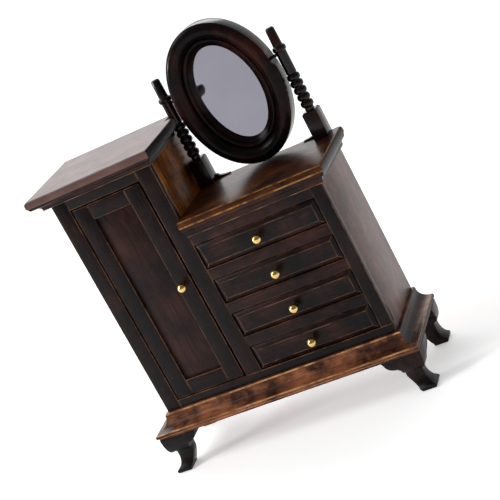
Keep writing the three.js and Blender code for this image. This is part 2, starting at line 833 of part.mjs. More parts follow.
// Frame section, as [distance outside the sight edge, depth]; the front is towards -Y.
// From the back: the rim, a rounded crest, a swelling band, a groove, a bead and a lip.
function frameSection() {
  const outer = mirrorFrameWidth;
  const rebate = frameFront + glassRecess;
  return [
    [glassLap + tightClearance, frameBack],
    [outer - 0.4, frameBack],
    [outer, frameBack - 0.4],
    ...arc(outer - rimRounding, frameFront + rimDome, rimRounding, -rimDome, 0, 90, 4),
    ...arc(outer - rimRounding, rebate - 2, 2.9 - outer + rimRounding, frameFront - rebate + 2, 72, 0, 3),
    [2.9, rebate - 1.7],
    ...arc(2.15, rebate - 1.6, 0.75, -0.8, 20, 160, 2),
    [1.2, rebate - 1.1],
    [0, rebate - 0.35],
    [0, rebate],
    [glassLap + tightClearance, rebate],
  ];
}

// A ring swept round the oval: the section's points joined round and closed on itself.
function sweptOval(section) {
  const rings = section.map(([distance, y]) => ovalRing(distance, y));
  const positions = rings.flat(2);
  const indices = [];
  for (let r = 0; r < rings.length; r += 1) {
    const next = (r + 1) % rings.length;
    for (let i = 0; i < ovalSegments; i += 1) {
      const j = (i + 1) % ovalSegments;
      const a = r * ovalSegments + i;
      const b = r * ovalSegments + j;
      const c = next * ovalSegments + j;
      const d = next * ovalSegments + i;
      indices.push(a, b, c);
      indices.push(a, c, d);
    }
  }
  const geometry = new THREE.BufferGeometry();
  geometry.setAttribute('position', new THREE.Float32BufferAttribute(positions, 3));
  geometry.setIndex(indices);
  geometry.computeVertexNormals();
  return geometry;
}

const seatX = mirrorHalfWidth - pivotSeatDepth;
const frameTools = [];
for (const side of [-1, 1]) {
  const seatEnds = [side * seatX, side * (mirrorHalfWidth + 1)];
  const seat = block(
    [Math.min(...seatEnds), frameFront - 1, -pivotSeatLength / 2],
    [Math.max(...seatEnds), frameBack + 1, pivotSeatLength / 2],
  );
  seat.translate(-side * seatX, 0, 0);
  seat.rotateY(THREE.MathUtils.degToRad(-side * pivotSeatLean));
  seat.translate(side * seatX, 0, 0);
  seat.rotateY(-turn);
  frameTools.push(seat);
  frameTools.push(pin(
    pivotPinRadius + tightClearance,
    [side * (mirrorHalfWidth + 1), 0, 0],
    [side * (seatX - pivotPinInFrame), 0, 0],
  ));
}
add('mirror_frame', cut(sweptOval(frameSection()), ...frameTools), darkWalnut, mirror);

const glassFront = frameFront + glassRecess + tightClearance;
const glassBack = glassFront + glassThickness;
add('mirror_glass', loft([
  ovalRing(glassLap - turnedGap / 2, glassFront),
  ovalRing(glassLap - turnedGap / 2, glassBack),
].reverse()), mirrorGlass, mirror);
add('mirror_backboard', loft([
  ovalRing(backboardLap, frameBack + turnedGap),
  ovalRing(backboardLap - 0.3, frameBack + turnedGap + backboardThickness),
].reverse()), rawPine, mirror);
for (const [side, direction] of [['left', -1], ['right', 1]]) {
  const postFace = postSpacing / 2 - postShaftRadius;
  add(`mirror_pivot_${side}`, pin(
    pivotPinRadius,
    [direction * (seatX - pivotPinInFrame + tightClearance), 0, 0],
    [direction * (postFace + pivotPinInPost), 0, 0],
  ), blackenedSteel, mirror);
}

// ---------------------------------------------------------------- origin

// The origin is the bottom centre of the whole piece's bounding box.
model.updateMatrixWorld(true);
const bounds = new THREE.Box3().setFromObject(model, true);
const footprint = bounds.getCenter(new THREE.Vector3());
const assembly = new THREE.Group();
model.position.set(-footprint.x, -footprint.y, -bounds.min.z);
assembly.add(model);

export default assembly;
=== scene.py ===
# %% [markdown]
# A 1:12 dolls' house dressing chest
#
# This notebook dresses a finished design. The design file already holds every board, pin and
# knob at its true size; here each one gets the softened edges, fine mouldings and finishes
# that the eye expects of a hand-made miniature. We start by loading the design as a fixed
# frame, so that no piece ever has to be fitted by eye.

# %% Load the frame
import bmesh
import bpy
import json
from math import asin, atan2, cos, degrees, hypot, pi, radians, sin, tan
from mathutils import Matrix, Vector


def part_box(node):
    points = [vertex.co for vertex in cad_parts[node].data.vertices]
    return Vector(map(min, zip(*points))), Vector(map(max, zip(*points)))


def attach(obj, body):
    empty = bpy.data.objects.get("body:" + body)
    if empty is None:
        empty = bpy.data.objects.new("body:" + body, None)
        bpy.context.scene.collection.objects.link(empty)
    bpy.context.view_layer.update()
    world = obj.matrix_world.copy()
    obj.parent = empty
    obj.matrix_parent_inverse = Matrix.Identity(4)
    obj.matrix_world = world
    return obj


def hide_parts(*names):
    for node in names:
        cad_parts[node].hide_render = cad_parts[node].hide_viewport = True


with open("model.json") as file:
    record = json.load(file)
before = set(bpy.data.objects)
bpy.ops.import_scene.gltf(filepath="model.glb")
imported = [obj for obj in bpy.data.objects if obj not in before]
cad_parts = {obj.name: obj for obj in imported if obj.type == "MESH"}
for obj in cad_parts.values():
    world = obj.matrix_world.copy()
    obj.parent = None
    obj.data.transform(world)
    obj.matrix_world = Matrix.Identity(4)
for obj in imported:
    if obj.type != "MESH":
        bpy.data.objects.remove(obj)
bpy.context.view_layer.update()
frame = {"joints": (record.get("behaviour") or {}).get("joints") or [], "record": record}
MM = 0.001

# %% [markdown]
# Places to build from
#
# A cabinet maker marks everything out from a few faces of the carcass. We do the same: the
# carcass's left, right, front and back faces come from boards of the frame, and the mirror's
# pivot line comes from its joint.

# %% Datum faces and the mirror's pivot
carcass_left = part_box("left_stile")[0].x
carcass_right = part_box("right_stile")[1].x
front_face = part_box("left_stile")[0].y
back_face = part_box("cupboard_left_side")[1].y
cupboard_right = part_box("middle_stile")[1].x
pivot = next(Vector(joint["pos_m"]) for joint in frame["joints"] if joint["name"] == "mirror_tilt")
print("carcass is", round((carcass_right - carcass_left) / MM, 1), "mm wide")

# %% [markdown]
# Colour and pattern sizes
#
# Paint charts and screens give colours as sRGB hex values, but light adds up in linear
# values, so one function turns the first into the second. Wood patterns are sized the way
# they are measured, as a width in millimetres. Nearly every finish is built of three steps,
# a noise, a change of range and a mix of two colours, so each step has a function too.

# %% Colour and scale helpers
def colour(code):
    """An sRGB hex code as the linear colour that a shader socket takes."""
    channels = [int(code[i:i + 2], 16) / 255 for i in (1, 3, 5)]
    return [c / 12.92 if c <= 0.04045 else ((c + 0.055) / 1.055) ** 2.4 for c in channels] + [1.0]


def every(width_mm):
    """The texture scale that repeats a pattern about every so many millimetres."""
    return 1 / (width_mm * MM)


def add_node(material, kind, settings=None, links=None):
    """One shader node, with its socket and property settings, linked from other sockets."""
    node = material.node_tree.nodes.new(kind)
    for key, value in (settings or {}).items():
        if isinstance(key, str) and hasattr(node, key):
            setattr(node, key, value)
        else:
            node.inputs[key].default_value = value
    for key, source in (links or {}).items():
        material.node_tree.links.new(source, node.inputs[key])
    return node


def noise(material, place, width_mm, **settings):
    """A noise from 0 to 1 that varies about every so many millimetres."""
    return add_node(
        material, "ShaderNodeTexNoise", {"Scale": every(width_mm), **settings}, {"Vector": place},
    ).outputs["Fac"]


def remap(material, value, low, high, to_low=0.0, to_high=1.0):
    """A value stretched from one range to another, and held inside it."""
    return add_node(
        material, "ShaderNodeMapRange",
        {"From Min": low, "From Max": high, "To Min": to_low, "To Max": to_high}, {"Value": value},
    ).outputs["Result"]


def blend(material, amount, first, second, how="MIX"):
    """Two colours mixed by an amount; each of the three is a value or another node's output."""
    given = {0: amount, 6: first, 7: second}
    links = {key: value for key, value in given.items() if isinstance(value, bpy.types.NodeSocket)}
    settings = {key: value for key, value in given.items() if key not in links}
    return add_node(
        material, "ShaderNodeMix", {"data_type": "RGBA", "blend_type": how, **settings}, links,
    ).outputs[2]


def new_material(name):
    """An empty node material, and its Principled surface."""
    material = bpy.data.materials.new(name)
    material.use_nodes = True
    return material, material.node_tree.nodes["Principled BSDF"]


print("mid grey is", round(colour("#808080")[0], 3), "in linear light")

# %% [markdown]
# Stained walnut under satin lacquer
#
# The real piece is close-grained walnut, sanded, stained almost black-brown, lacquered to a
# satin sheen and then rubbed through along its edges. Four things tell the eye so: soft
# blotches where the stain took unevenly, dark growth figure that runs with the grain, fine
# fibres that break up the sheen, and a lighter line along each arris. A flat brown would
# lose all four. The figure and the fibres are one noise each, pulled out along the grain.
# The arris line follows the shape, so it reads an attribute called rubbed that the pieces
# carry on their bevelled edges, and a noise breaks it up. Fibres in real walnut are finer
# than 0.1 mm, too fine to show at this size, so they are drawn at about a third of a
# millimetre. End grain soaks up more stain, so a face that looks along the grain is nearly
# black; the direction that a face looks in tells which those are. Old satin lacquer
# reflects little from straight in front, so its gloss is low.

# %% Walnut
LACQUER_IOR = 1.5
FIBRE_WIDTH = 0.32
FIGURE_WIDTH = 2.6
BLOTCH_WIDTH = 13
CHAFE_LENGTH = 5
GRAIN_RELIEF = 0.012
GRAIN_STRETCH = {"x": (0.07, 1, 1), "y": (1, 0.07, 1), "z": (1, 1, 0.07)}
GRAIN_AXIS = {"x": (1, 0, 0), "y": (0, 1, 0), "z": (0, 0, 1)}


def walnut(
    name, grain, deep, mid, rubbed, rub=0.7, roughness=0.3, gloss=0.12, mottle=0.5, streak=0.45,
):
    """Stained walnut whose grain runs along one axis, worn to a lighter colour at its edges."""
    material, surface = new_material(name)
    place = add_node(material, "ShaderNodeTexCoord").outputs["Object"]
    stretched = add_node(
        material, "ShaderNodeMapping", {"Scale": GRAIN_STRETCH[grain]}, {"Vector": place},
    ).outputs["Vector"]
    figure = noise(material, stretched, FIGURE_WIDTH, Detail=3.0, Roughness=0.6, Distortion=0.6)
    fibre = noise(material, stretched, FIBRE_WIDTH, Detail=2.0, Roughness=0.7)
    blotch = noise(material, place, BLOTCH_WIDTH, Detail=4.0, Roughness=0.65)
    figure_band = remap(material, figure, 0.36, 0.66, to_low=0.25)
    blotch_band = remap(material, blotch, 0.4, 0.64, to_high=mottle * 2)
    lightness = add_node(
        material, "ShaderNodeMath", {"operation": "MULTIPLY", "use_clamp": True},
        {0: figure_band, 1: blotch_band},
    ).outputs["Value"]
    stained = blend(material, lightness, colour(deep), colour(mid))
    fibre_shade = remap(material, fibre, 0.3, 0.7, 1 - streak, 1 + streak * 0.55)
    grained = blend(material, 1.0, stained, fibre_shade, "MULTIPLY")
    facing = add_node(material, "ShaderNodeTexCoord").outputs["Normal"]
    along_grain = add_node(
        material, "ShaderNodeVectorMath", {"operation": "DOT_PRODUCT", 1: GRAIN_AXIS[grain]},
        {0: facing},
    ).outputs["Value"]
    size_along = add_node(
        material, "ShaderNodeMath", {"operation": "ABSOLUTE"}, {0: along_grain},
    ).outputs["Value"]
    end_grain = remap(material, size_along, 0.3, 0.6, to_high=0.9)
    arris = add_node(material, "ShaderNodeAttribute", {"attribute_name": "rubbed"}).outputs["Fac"]
    chafe = noise(material, place, CHAFE_LENGTH, Detail=3.0, Roughness=0.7)
    patchy = remap(material, chafe, 0.4, 0.6, rub * 0.15, rub)
    rub_amount = add_node(
        material, "ShaderNodeMath", {"operation": "MULTIPLY", "use_clamp": True}, {0: arris, 1: patchy},
    ).outputs["Value"]
    worn = blend(material, rub_amount, grained, colour(rubbed))
    soaked = blend(material, end_grain, worn, colour("#0d0b0d"))
    sheen = remap(material, fibre, 0.3, 0.7, roughness - 0.05, roughness + 0.09)
    waves = add_node(
        material, "ShaderNodeMath", {"operation": "MULTIPLY_ADD", 1: 1.6}, {0: figure, 2: fibre},
    ).outputs["Value"]
    relief = add_node(
        material, "ShaderNodeBump", {"Strength": 1.0, "Distance": GRAIN_RELIEF * MM}, {"Height": waves},
    ).outputs["Normal"]
    links = material.node_tree.links
    links.new(soaked, surface.inputs["Base Color"])
    links.new(sheen, surface.inputs["Roughness"])
    links.new(relief, surface.inputs["Normal"])
    surface.inputs["IOR"].default_value = LACQUER_IOR
    surface.inputs["Specular IOR Level"].default_value = gloss
    return material


print("walnut figure every", FIGURE_WIDTH, "mm, fibres every", FIBRE_WIDTH, "mm")

# %% [markdown]
# One stain, several boards
#
# The same stain looks different from board to board. The face frame is almost black, the
# plinth and the long mouldings are redder, and the cupboard's inner side and the chest top
# glow amber where the stain is thin. The outer sides and the cupboard top are a lighter,
# dusty pinkish brown: partly the stain, partly painted light for the sheen that they catch
# from the pale room. The right-hand ends of the cornices get a near-black copy, which is
# painted shade. Each gets its own pair of colours, from deep in the stain to where it is
# thin, and a third for where it is rubbed through, in every grain direction that its boards
# need.

# %% The walnut finishes
STAINS = {
    "face_walnut": dict(deep="#120e10", mid="#2e1c1a", rubbed="#9a6a48", rub=0.5),
    "rail_walnut": dict(deep="#191112", mid="#42261f", rubbed="#94664a", rub=0.3),
    "drawer_walnut": dict(deep="#100d0f", mid="#36201c", rubbed="#9c6e50", rub=0.4, mottle=0.6),
    "moulding_walnut": dict(deep="#1a1011", mid="#4c2b20", rubbed="#b07c50", rub=0.7),
    "panel_walnut": dict(deep="#1a1112", mid="#3a221c", rubbed="#7a4c34", rub=0.5, mottle=0.7, streak=0.3),
    "plinth_walnut": dict(deep="#3a2018", mid="#9a6040", rubbed="#c89464", rub=0.95, mottle=0.8),
    "shelf_walnut": dict(
        deep="#2a150e", mid="#643818", rubbed="#b07c48", rub=0.8, gloss=0.06, mottle=0.7, streak=0.35,
    ),
    "amber_walnut": dict(
        deep="#2c160a", mid="#9a5618", rubbed="#c08a48", rub=0.85, gloss=0.1, mottle=0.9, streak=0.3,
    ),
    # Painted light: the outer sides are paler than the face frame because they face the light; part of
    # their colour is painted sheen.
    "side_stain_painted_light": dict(
        deep="#402a26", mid="#70483c", rubbed="#8a6450", rub=0.3, gloss=0.35, mottle=0.7, streak=0.2,
        roughness=0.36,
    ),
    # Painted light: the cupboard top's pale pinkish grey is partly the stain and partly painted sheen, the
    # pale room mirrored at a glancing angle.
    "top_stain_painted_sheen": dict(
        deep="#5a423e", mid="#7a5c56", rubbed="#6a4a40", rub=0.4, gloss=0.14, mottle=0.6, streak=0.12,
        roughness=0.36,
    ),
    # Painted shade: a near-black copy of the stain for the right-hand ends of the cornices, which fall in
    # shade.
    "painted_shade_walnut": dict(deep="#0c0b0d", mid="#1e1a1c", rubbed="#4a3c38", rub=0.3),
    "foot_walnut": dict(deep="#0e0a0c", mid="#2e1c19", rubbed="#6a4636", rub=0.3, mottle=0.7),
    "turned_walnut": dict(
        deep="#0c0809", mid="#34190f", rubbed="#5a3a2c", rub=0.2, roughness=0.14, gloss=0.22, streak=0.25,
    ),
    "frame_walnut": dict(
        deep="#0a0708", mid="#381a14", rubbed="#5a3a2c", rub=0.2, roughness=0.18, gloss=0.08, streak=0.25,
    ),
}
made = {}


def stain(kind, grain):
    """The finish of that kind with its grain along x, y or z, made once and then shared."""
    if (kind, grain) not in made:
        made[kind, grain] = walnut(kind + "_along_" + grain, grain, **STAINS[kind])
    return made[kind, grain]


print(len(STAINS), "stains mixed")

# %% [markdown]
# Bare pine, brass, steel and silvered glass
#
# Inside, the drawers, backs and dust boards are bare sanded pine: pale, dry and matt, with
# wide soft growth rings. The knobs are turned brass, polished, with a little tarnish. The
# pins are steel wire, blackened by heat and rubbed with oil. The mirror is silvered glass
# with the grey cast of an old plate.

# %% Pine
PINE_RING_WIDTH = 1.3
PINE_FIBRE_WIDTH = 0.25
WOOD_IOR = 1.53


def pine(name, grain):
    """Bare sanded pine with its grain along one axis."""
    material, surface = new_material(name)
    place = add_node(material, "ShaderNodeTexCoord").outputs["Object"]
    stretched = add_node(
        material, "ShaderNodeMapping", {"Scale": GRAIN_STRETCH[grain]}, {"Vector": place},
    ).outputs["Vector"]
    rings = noise(material, stretched, PINE_RING_WIDTH, Detail=1.0, Distortion=0.8)
    fibre = noise(material, stretched, PINE_FIBRE_WIDTH, Detail=2.0)
    ring_band = remap(material, rings, 0.4, 0.62)
    ringed = blend(material, ring_band, colour("#caa97a"), colour("#a97f4c"))
    shade = remap(material, fibre, 0.3, 0.7, 0.85, 1.1)
    grained = blend(material, 1.0, ringed, shade, "MULTIPLY")
    relief = add_node(
        material, "ShaderNodeBump", {"Strength": 0.6, "Distance": 0.02 * MM}, {"Height": fibre},
    ).outputs["Normal"]
    links = material.node_tree.links
    links.new(grained, surface.inputs["Base Color"])
    links.new(relief, surface.inputs["Normal"])
    surface.inputs["Roughness"].default_value = 0.68
    surface.inputs["IOR"].default_value = WOOD_IOR
    return material


pine_finishes = {grain: pine("bare_pine_along_" + grain, grain) for grain in "xyz"}
print("pine rings every", PINE_RING_WIDTH, "mm")

# %% Brass
brass, brass_surface = new_material("polished_brass")
brass_place = add_node(brass, "ShaderNodeTexCoord").outputs["Object"]
tarnish = noise(brass, brass_place, 1.1, Detail=3.0)
brass_tone = blend(brass, tarnish, colour("#c89a40"), colour("#f6e0a0"))
brass_sheen = remap(brass, tarnish, 0.3, 0.7, 0.1, 0.2)
brass.node_tree.links.new(brass_tone, brass_surface.inputs["Base Color"])
brass.node_tree.links.new(brass_sheen, brass_surface.inputs["Roughness"])
brass_surface.inputs["Metallic"].default_value = 1.0
print("brass ready")

# %% Blackened steel wire
steel, steel_surface = new_material("blackened_steel")
steel_place = add_node(steel, "ShaderNodeTexCoord").outputs["Object"]
scale_marks = noise(steel, steel_place, 0.6, Detail=2.0)
steel_tone = blend(steel, scale_marks, colour("#262524"), colour("#3a3836"))
steel.node_tree.links.new(steel_tone, steel_surface.inputs["Base Color"])
steel_surface.inputs["Metallic"].default_value = 1.0
steel_surface.inputs["Roughness"].default_value = 0.35
print("steel ready")

# %% Silvered glass
silvering, silvering_surface = new_material("silvered_glass")
glass_place = add_node(silvering, "ShaderNodeTexCoord").outputs["Object"]
cloud = noise(silvering, glass_place, 9, Detail=2.0)
glass_tone = blend(silvering, cloud, colour("#7a7982"), colour("#83828b"))
glass_sheen = remap(silvering, cloud, 0.3, 0.7, 0.02, 0.05)
silvering.node_tree.links.new(glass_tone, silvering_surface.inputs["Base Color"])
silvering.node_tree.links.new(glass_sheen, silvering_surface.inputs["Roughness"])
silvering_surface.inputs["Metallic"].default_value = 1.0
print("silvered glass ready")

# %% [markdown]
# Turning a bmesh into a piece
#
# Every piece is modelled in the frame's own place, so its object can stay at the origin.
# One helper does what each piece needs at the end: merge doubled points, turn all faces
# outwards, smooth the round parts but keep crisp edges, give it its finish, hang it on the
# body it rides on, and hide the plain board it stands for. Worn edges are marked as they are
# made, because the bevel knows which faces it added.

# %% Piece helper
SMOOTH_BELOW = radians(32)
bodies = frame["record"]["behaviour"]["bodies"]
body_of_node = {node: body for body, nodes in bodies.items() for node in nodes}


def make_piece(bm, node, ending, material):
    """The bmesh as a finished piece that stands for a node and rides where the node does."""
    bmesh.ops.remove_doubles(bm, verts=bm.verts, dist=0.001 * MM)
    bmesh.ops.recalc_face_normals(bm, faces=bm.faces)
    mesh = bpy.data.meshes.new(node + ending)
    bm.to_mesh(mesh)
    bm.free()
    mesh.polygons.foreach_set("use_smooth", [True] * len(mesh.polygons))
    mesh.set_sharp_from_angle(angle=SMOOTH_BELOW)
    mesh.materials.append(material)
    piece = bpy.data.objects.new(node + ending, mesh)
    bpy.context.scene.collection.objects.link(piece)
    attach(piece, body_of_node[node])
    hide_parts(node)
    return piece


def blank_bmesh():
    """An empty bmesh that can carry the rubbed marks."""
    bm = bmesh.new()
    bm.loops.layers.float.new("rubbed")
    return bm


def rub(bm, faces):
    """Marks faces as rubbed, for the walnut finish to lighten."""
    layer = bm.loops.layers.float["rubbed"]
    for face in faces:
        for corner in face.loops:
            corner[layer] = 1.0


def soften(bm, edges, width_mm, segments=2):
    """Rounds the given edges over, as a few strokes of sandpaper do, which also rubs them."""
    rounded = bmesh.ops.bevel(
        bm, geom=edges, offset=width_mm * MM, offset_type="OFFSET", segments=segments, profile=0.5,
        affect="EDGES", material=-1, clamp_overlap=True,
    )
    rub(bm, rounded["faces"])


def crisp_edges(bm, least):
    """The edges where two faces meet at more than so many degrees."""
    return [edge for edge in bm.edges if edge.is_manifold and edge.calc_face_angle() > radians(least)]


def push(bm, faces, way):
    """Pushes flat faces along a vector, so that an outline becomes a solid."""
    pushed = bmesh.ops.extrude_face_region(bm, geom=faces)["geom"]
    bmesh.ops.translate(bm, vec=way, verts=[v for v in pushed if isinstance(v, bmesh.types.BMVert)])


def add_block(bm, low, high, arris=0.22):
    """A rectangular board between two corners, with softened edges."""
    made_block = bmesh.ops.create_cube(bm, size=1)["verts"]
    bmesh.ops.scale(bm, vec=high - low, verts=made_block)
    bmesh.ops.translate(bm, vec=(low + high) / 2, verts=made_block)
    edges = list({edge for vert in made_block for edge in vert.link_edges})
    soften(bm, edges, arris)


def stack(bm, rings, rubbed=()):
    """A solid grown ring by ring: each step pulls the last face out to the next ring.

    The steps named in rubbed are marked as worn; a negative one counts back from the top.
    """
    face = bm.faces.new([bm.verts.new(point) for point in rings[0]])
    worn_steps = {step % len(rings) for step in rubbed}
    for step, ring in enumerate(rings[1:], 1):
        face = bmesh.ops.extrude_discrete_faces(bm, faces=[face])["faces"][0]
        for vert, point in zip(face.verts, ring):
            vert.co = point
        if step in worn_steps:
            rub(bm, [side for edge in face.edges for side in edge.link_faces if side is not face])


# %% [markdown]
# Boards with softened arrises
#
# Most of a chest is plain board: stiles, rails, sides, backs. A real board never has a
# knife edge, because the last sanding takes it off, and that small rounding is what catches
# the light. So each board is a box with its edges bevelled, sized by the frame's own node.

# %% Plain boards
BOARDS = {
    "left_stile": ("face_walnut", "z"), "middle_stile": ("face_walnut", "z"),
    "right_stile": ("face_walnut", "z"),
    "bottom_rail": ("face_walnut", "x"), "cupboard_top_rail": ("face_walnut", "x"),
    "chest_top_rail": ("rail_walnut", "x"),
    "drawer_rail_1": ("rail_walnut", "x"), "drawer_rail_2": ("rail_walnut", "x"),
    "drawer_rail_3": ("rail_walnut", "x"),
    # The outer sides take the paler copy of the stain, which is partly painted light.
    "cupboard_left_side": ("side_stain_painted_light", "z"), "cupboard_right_side": ("amber_walnut", "z"),
    "chest_right_side": ("side_stain_painted_light", "z"),
    "door_stile_left": ("face_walnut", "z"), "door_stile_right": ("face_walnut", "z"),
    "door_rail_top": ("face_walnut", "x"), "door_rail_bottom": ("face_walnut", "x"),
    "door_panel": ("panel_walnut", "z"),
}
for node, (kind, grain) in BOARDS.items():
    bm = blank_bmesh()
    add_block(bm, *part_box(node))
    make_piece(bm, node, "_board", stain(kind, grain))
PINE_ARRIS = 0.12
PINE_BOARDS = {
    "bottom_board": "x", "cupboard_back": "z", "chest_back": "z", "drawer_guide": "y",
    "dust_board_1": "x", "dust_board_2": "x", "dust_board_3": "x",
}
for node, grain in PINE_BOARDS.items():
    bm = blank_bmesh()
    add_block(bm, *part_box(node), arris=PINE_ARRIS)
    make_piece(bm, node, "_board", pine_finishes[grain])
print(len(BOARDS) + len(PINE_BOARDS), "boards softened")

# %% [markdown]
# Moulding profiles
#
# A moulding is one outline run along an edge. The outlines here are made of arcs, like the
# cutters that make them: a hollow and a fillet for the plinth, a cove and an ovolo under
# each top, and a softened upper edge on the tops themselves. Each is a list of steps, as
# how far it stands out and how high it is, both in metres.

# %% Outline helpers
def arc(centre, radii, start, end, steps=8):
    """Points of an elliptical arc between two angles in degrees."""
    angles = [radians(start + (end - start) * i / steps) for i in range(steps + 1)]
    return [(centre[0] + radii[0] * cos(a), centre[1] + radii[1] * sin(a)) for a in angles]


def plinth_outline(reach, height):
    """Fillet, upright lower edge, long hollow slope and a small rounded lip, from below."""
    slope = height * 0.32
    lip = 1.1 * MM
    hollow = arc(
        (reach - 0.4 * MM, height - 0.9 * MM), (lip + 0.4 * MM - reach, slope + 0.9 * MM - height),
        90, 0, 12,
    )
    return [
        (reach - 0.55 * MM, 0), (reach - 0.55 * MM, 0.65 * MM), (reach - 0.15 * MM, 0.75 * MM),
        (reach, 0.95 * MM), (reach, slope - 0.35 * MM), (reach - 0.12 * MM, slope - 0.12 * MM), *hollow,
        (lip - 0.05 * MM, height - 0.45 * MM), (lip - 0.15 * MM, height - 0.15 * MM),
        (lip - 0.3 * MM, height),
    ]


def top_edge(reach, height):
    """A board's edge from its underside up: a flat with rounded corners."""
    rounding = height * 0.45
    return [
        (reach - 0.25 * MM, 0), (reach - 0.06 * MM, height * 0.08), (reach, height * 0.25),
        *arc((reach - rounding, height - rounding), (rounding, rounding), 0, 90, 6),
    ]


def cornice_outline(reach, height):
    """Fillet, cove and ovolo, from the foot of the cornice up."""
    fillet = reach * 0.36
    shoulder = reach * 0.74
    cove_top = height * 0.66
    return [
        (reach * 0.1, 0), (fillet - 0.15 * MM, height * 0.06), (fillet, height * 0.12),
        (fillet, height * 0.22),
        *arc((shoulder, height * 0.22), (fillet - shoulder, cove_top - height * 0.22), 8, 78, 6),
        (shoulder, cove_top),
        *arc((shoulder, height), (reach - 0.35 * MM - shoulder, cove_top - height), 75, 0, 6),
    ]


# %% [markdown]
# Plinth, tops and cornices
#
# The plinth and the tops are single boards with a moulded edge on every side that shows, so
# each is grown in layers, one rectangle for each step of its outline. The cornices are
# separate strips that meet in mitres: their plan is a quadrilateral whose outer corners
# move out along the mitre line as the moulding does.

# %% Moulded boards
def moulded_rings(outline, node, left, right, share_left=1.0):
    """One rectangle for each step of the outline, standing out at left, front and right."""
    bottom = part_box(node)[0].z
    return [
        [
            (left - reach * share_left, front_face - reach, bottom + height),
            (right + reach, front_face - reach, bottom + height),
            (right + reach, back_face, bottom + height),
            (left - reach * share_left, back_face, bottom + height),
        ]
        for reach, height in outline
    ]


plinth_low, plinth_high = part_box("plinth_board")
plinth_reach = carcass_left - plinth_low.x
bm = blank_bmesh()
stack(bm, moulded_rings(
    plinth_outline(plinth_reach, plinth_high.z - plinth_low.z), "plinth_board", carcass_left, carcass_right,
), rubbed=(3, 5, 6, -2, -1))
make_piece(bm, "plinth_board", "_moulded", stain("plinth_walnut", "x"))

chest_low, chest_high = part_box("chest_top")
chest_reach = chest_high.x - carcass_right
bm = blank_bmesh()
stack(bm, moulded_rings(
    top_edge(chest_reach, chest_high.z - chest_low.z), "chest_top", cupboard_right, carcass_right,
    share_left=0,
), rubbed=(1, 2, -3, -2))
make_piece(bm, "chest_top", "_moulded", stain("shelf_walnut", "x"))
print("plinth stands out", round(plinth_reach / MM, 1), "mm, chest top", round(chest_reach / MM, 1), "mm")

# %% Cupboard top, notched at its back right corner for the mirror post
top_low, top_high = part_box("cupboard_top")
top_reach = carcass_left - top_low.x
right_share = (top_high.x - cupboard_right) / top_reach
notch_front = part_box("cupboard_cornice_right")[1].y
bm = blank_bmesh()
stack(bm, [
    [
        (carcass_left - reach, front_face - reach, top_low.z + height),
        (cupboard_right + reach * right_share, front_face - reach, top_low.z + height),
        (cupboard_right + reach * right_share, notch_front, top_low.z + height),
        (cupboard_right, notch_front, top_low.z + height),
        (cupboard_right, back_face, top_low.z + height),
        (carcass_left - reach, back_face, top_low.z + height),
    ]
    for reach, height in top_edge(top_reach, top_high.z - top_low.z)
], rubbed=(1, 2))
# The cupboard top takes the pale copy of the stain, whose colour holds painted sheen.
make_piece(bm, "cupboard_top", "_moulded", stain("top_stain_painted_sheen", "x"))
print("cupboard top stands out", round(top_reach / MM, 1), "mm")


# %% Cornice strips
def cornice(node, outline, corners, grain, kind="moulding_walnut"):
    """One mitred strip: corners gives its plan for each reach of the outline."""
    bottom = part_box(node)[0].z
    strip = blank_bmesh()
    stack(
        strip, [[(x, y, bottom + height) for x, y in corners(reach)] for reach, height in outline],
        rubbed=(1, 2, -8, -7),
    )
    make_piece(strip, node, "_moulded", stain(kind, grain))


cupboard_cornice = cornice_outline(top_reach, top_low.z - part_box("cupboard_cornice_front")[0].z)
cornice("cupboard_cornice_front", cupboard_cornice, lambda r: [
    (carcass_left - r, front_face - r), (cupboard_right + r * right_share, front_face - r),
    (cupboard_right, front_face), (carcass_left, front_face),
], "x")
cornice("cupboard_cornice_left", cupboard_cornice, lambda r: [
    (carcass_left - r, front_face - r), (carcass_left, front_face),
    (carcass_left, back_face), (carcass_left - r, back_face),
], "y")
# This strip takes the near-black copy of the stain, which is painted shade.
cornice("cupboard_cornice_right", cupboard_cornice, lambda r: [
    (cupboard_right, front_face), (cupboard_right + r * right_share, front_face - r),
    (cupboard_right + r * right_share, notch_front), (cupboard_right, notch_front),
], "y", "painted_shade_walnut")
chest_cornice = cornice_outline(chest_reach, chest_low.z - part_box("chest_cornice_front")[0].z)
cornice("chest_cornice_front", chest_cornice, lambda r: [
    (cupboard_right, front_face - r), (carcass_right + r, front_face - r),
    (carcass_right, front_face), (cupboard_right, front_face),
], "x")
# This strip also takes the near-black copy of the stain, which is painted shade.
cornice("chest_cornice_right", chest_cornice, lambda r: [
    (carcass_right, front_face), (carcass_right + r, front_face - r),
    (carcass_right + r, back_face), (carcass_right, back_face),
], "y", "painted_shade_walnut")
print(len(cupboard_cornice), "steps in each cornice outline")

# %% [markdown]
# Ogee bracket feet
#
# An ogee foot is sawn twice: once to the front outline and once to the side outline, from
# the same block. What is left is the shape that both outlines share. So each foot is two
# extruded outlines, and a boolean keeps their common part. The toe flares out, the ankle is
# narrow, and the bracket swells under the plinth.

# %% Feet
FOOT_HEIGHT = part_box("foot_front_left")[1].z
FOOT_LENGTH = 13 * MM
FOOT_ARRIS = 0.15
SAW_CLEARANCE = 0.5 * MM
foot_reach = plinth_reach - 0.5 * MM
ANKLE = 2.7 * MM
FRONT_SHANK_AND_TOE = (2.7 * MM, -0.2 * MM)
SIDE_SHANK_AND_TOE = (0.7 * MM, 1.8 * MM)
BACK_SHANK_AND_TOE = (4.6 * MM, 5.7 * MM)


